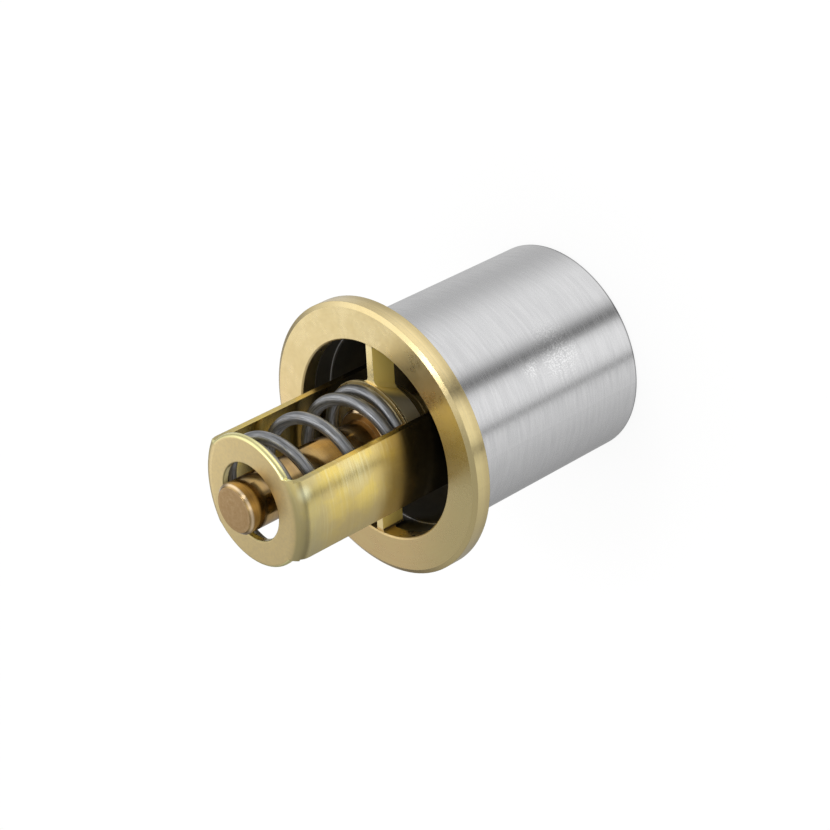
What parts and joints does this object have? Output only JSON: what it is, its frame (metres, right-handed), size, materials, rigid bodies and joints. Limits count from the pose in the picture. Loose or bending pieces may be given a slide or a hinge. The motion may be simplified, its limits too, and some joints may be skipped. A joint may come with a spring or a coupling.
{
  "type": "engine thermostat",
  "caption": "Sleeve-type wax valve for engine coolant: a ribbed flange holds the wax cup, and a spring-loaded cage carries the sliding steel sleeve.",
  "frame": {"origin": "centre of the flange's back face, the face on which the sleeve seats", "axes": "+Z along the valve's axis from the sleeve towards the cage, +X from the axis towards one leg of the cage, and the two ribs lie on Y"},
  "size_m": [0.07, 0.07, 0.1068],
  "materials": {
    "cast_brass": "satin, machined face",
    "sheet_brass": "semi-bright rolled sheet",
    "turned_brass": "turned, semi-bright",
    "bronze": "turned, satin",
    "stainless_tube": "brushed around the axis",
    "spring_steel": "drawn wire, semi-bright",
    "ground_steel": "ground",
    "rubber": "moulded",
    "wax": "waxy",
    "white_plastic": "moulded"
  },
  "bodies": {
    "seat": {"flange_seat": "cast_brass", "wax_cup": "bronze", "wax_charge": "wax", "diaphragm": "rubber", "rubber_plug": "rubber", "backup_washer": "white_plastic", "guide": "turned_brass", "return_spring": "spring_steel"},
    "valve": {"sleeve": "stainless_tube", "sleeve_spider": "turned_brass", "cage": "sheet_brass", "piston": "ground_steel", "adjusting_screw": "ground_steel", "lock_nut": "ground_steel", "rivets": "turned_brass"}
  },
  "joints": [
    {"name": "sleeve_slide", "type": "slide", "parent": "seat", "child": "valve", "axis": [0, 0, -1], "range_m": [0, 0.009], "stiffness_N_per_m": 9000, "springref_m": -0.006, "deforming": ["return_spring"]}
  ]
}
